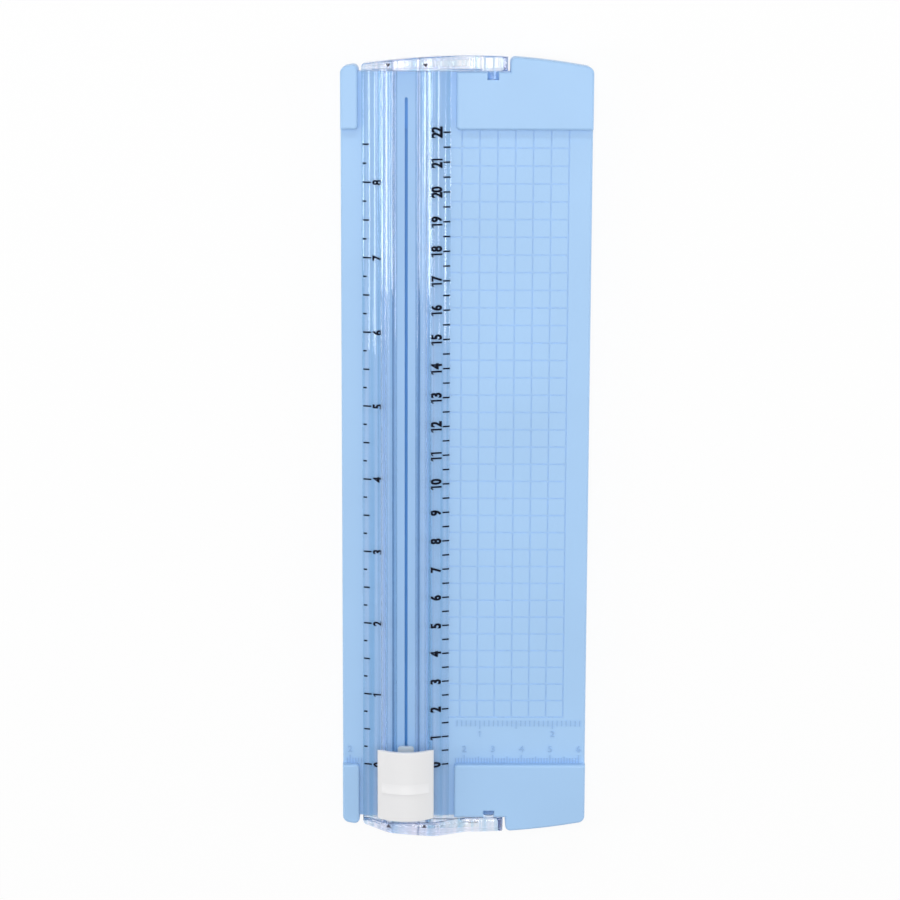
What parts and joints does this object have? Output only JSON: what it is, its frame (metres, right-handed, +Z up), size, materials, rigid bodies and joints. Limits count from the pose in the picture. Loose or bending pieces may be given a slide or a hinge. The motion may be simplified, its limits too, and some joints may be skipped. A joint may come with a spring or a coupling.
{
  "type": "paper trimmer",
  "caption": "Desk paper trimmer: moulded base with gridded bed and cutting groove, clear hinged rail and a spring-loaded press-down blade slider.",
  "frame": {"origin": "middle of the footprint on the table, at the bottom of the rubber feet", "axes": "+Y along the cut line away from the parked slider, +X across the base towards the paper bed, +Z up"},
  "size_m": [0.0848, 0.27, 0.0276],
  "materials": {
    "base_plastic": "fine satin moulding",
    "clear_plastic": "clear, polished",
    "cap_plastic": "off-white satin",
    "runner_plastic": "translucent",
    "carrier_plastic": "satin",
    "steel": "bright",
    "rubber": "matt"
  },
  "bodies": {
    "base": {"base_shell": "base_plastic", "bottom_cover": "base_plastic", "cover_screws": "steel", "foot_front_left": "rubber", "foot_front_right": "rubber", "foot_rear_left": "rubber", "foot_rear_right": "rubber"},
    "rail": {"clear_rail": "clear_plastic"},
    "runner": {"slider_runner": "runner_plastic", "press_spring_front": "steel", "press_spring_rear": "steel"},
    "press_head": {"slider_cap": "cap_plastic", "blade_carrier_left": "carrier_plastic", "blade_carrier_right": "carrier_plastic", "cutting_blade": "steel", "blade_pin": "steel"}
  },
  "joints": [
    {"name": "rail_lift", "type": "hinge", "parent": "base", "child": "rail", "pos_m": [0.0087, 0, 0.0124], "axis": [0, 1, 0], "range_deg": [0, 100]},
    {"name": "slider_slide", "type": "slide", "parent": "rail", "child": "runner", "axis": [0, 1, 0], "range_m": [-0.0021, 0.2319]},
    {"name": "slider_press", "type": "slide", "parent": "runner", "child": "press_head", "axis": [0, 0, -1], "range_m": [0, 0.002], "stiffness_N_per_m": 800, "springref_m": -0.0015, "deforming": ["press_spring_front", "press_spring_rear"]}
  ]
}
